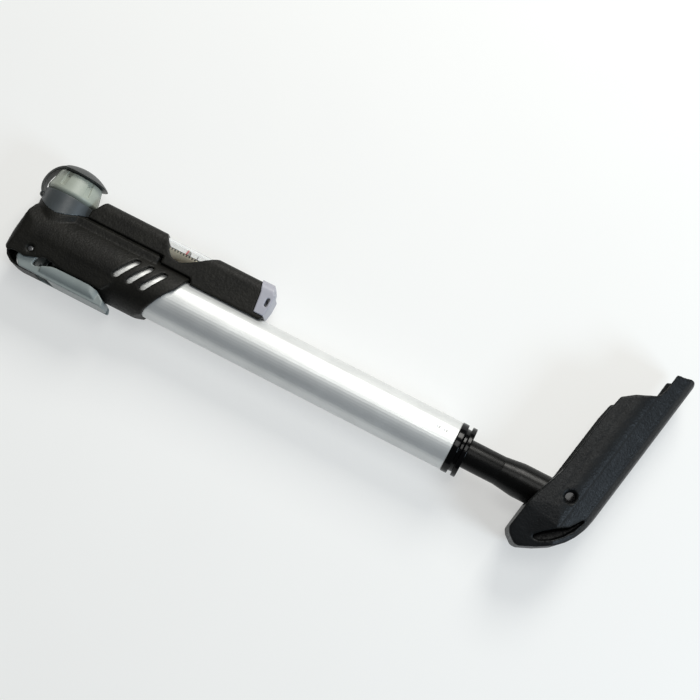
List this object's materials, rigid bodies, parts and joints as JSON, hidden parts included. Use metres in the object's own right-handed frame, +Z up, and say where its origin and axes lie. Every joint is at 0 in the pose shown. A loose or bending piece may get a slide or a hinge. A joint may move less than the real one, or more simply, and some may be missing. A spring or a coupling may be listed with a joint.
{
  "type": "mini pump",
  "caption": "Small hand pump for bicycle tyres: barrel with sliding rod and folding handle, pressure gauge, and a valve head with a locking lever and dust cap.",
  "frame": {"origin": "on the barrel's axis, at the middle of the exposed stretch of barrel that a frame bracket grips", "axes": "+X along the barrel towards the handle, +Y towards the valve and the gauge, +Z up from the face it lies on"},
  "size_m": [0.3163, 0.1048, 0.0298],
  "materials": {
    "black_grain": "fine grain",
    "silver": "satin anodised",
    "seal": "matte",
    "collar_black": "polished",
    "bush": "smooth",
    "boot_grey": "matte",
    "nut_grey": "satin",
    "washer": "turned",
    "plunger_white": "smooth",
    "cap_rubber": "matte",
    "lever_grey": "fine grain",
    "steel": "brushed",
    "tube_clear": "clear",
    "scale_cream": "printed with marks and numbers",
    "marker_red": "smooth",
    "cap_lilac": "satin",
    "rod_black": "satin anodised",
    "piston_white": "smooth",
    "handle_black": "fine grain"
  },
  "bodies": {
    "pump": {"head_body": "black_grain", "barrel": "silver", "barrel_seal": "seal", "check_valve": "seal", "end_collar": "collar_black", "rod_bush": "bush", "valve_boot": "boot_grey", "thrust_washer": "washer", "valve_gasket": "seal", "narrow_gasket": "seal", "lever_pin": "steel", "gauge_housing": "black_grain", "gauge_tube": "tube_clear", "gauge_scale": "scale_cream", "gauge_spring": "steel", "gauge_end_cap": "cap_lilac", "gauge_seal": "seal", "tube_seal": "seal"},
    "lever": {"lock_lever": "lever_grey"},
    "plunger": {"plunger": "plunger_white", "plunger_seal": "seal"},
    "nut": {"valve_nut": "nut_grey"},
    "cap": {"dust_cap": "cap_rubber"},
    "gauge_piston": {"gauge_piston": "marker_red"},
    "rod": {"rod": "rod_black", "rod_end": "rod_black", "piston": "piston_white", "piston_seal": "seal", "piston_screw": "steel"},
    "handle": {"handle": "handle_black", "handle_pin": "steel"}
  },
  "joints": [
    {"name": "lever_hinge", "type": "hinge", "parent": "pump", "child": "lever", "pos_m": [-0.1381, -0.009, 0], "axis": [0, 0, -1], "range_deg": [0, 90]},
    {"name": "plunger_slide", "type": "slide", "parent": "pump", "child": "plunger", "axis": [0, 1, 0], "range_m": [0, 0.0012]},
    {"name": "nut_turn", "type": "hinge", "parent": "pump", "child": "nut", "pos_m": [-0.1361, 0.0269, 0], "axis": [0, 1, 0], "range_deg": [0, 360]},
    {"name": "cap_hinge", "type": "hinge", "parent": "pump", "child": "cap", "pos_m": [-0.1483, 0.0176, 0], "axis": [0, 0, 1], "range_deg": [0, 80]},
    {"name": "gauge_slide", "type": "slide", "parent": "pump", "child": "gauge_piston", "axis": [1, 0, 0], "range_m": [0, 0.014], "stiffness_N_per_m": 60, "deforming": ["gauge_spring"]},
    {"name": "rod_slide", "type": "slide", "parent": "pump", "child": "rod", "axis": [1, 0, 0], "range_m": [-0.0165, 0.13]},
    {"name": "handle_hinge", "type": "hinge", "parent": "rod", "child": "handle", "pos_m": [0.1344, 0.0021, 0], "axis": [0, 0, 1], "range_deg": [0, 100.9]}
  ],
  "couplings": [
    {"joint": "plunger_slide", "follows": "lever_hinge", "m_per_rad": 0.00076}
  ]
}
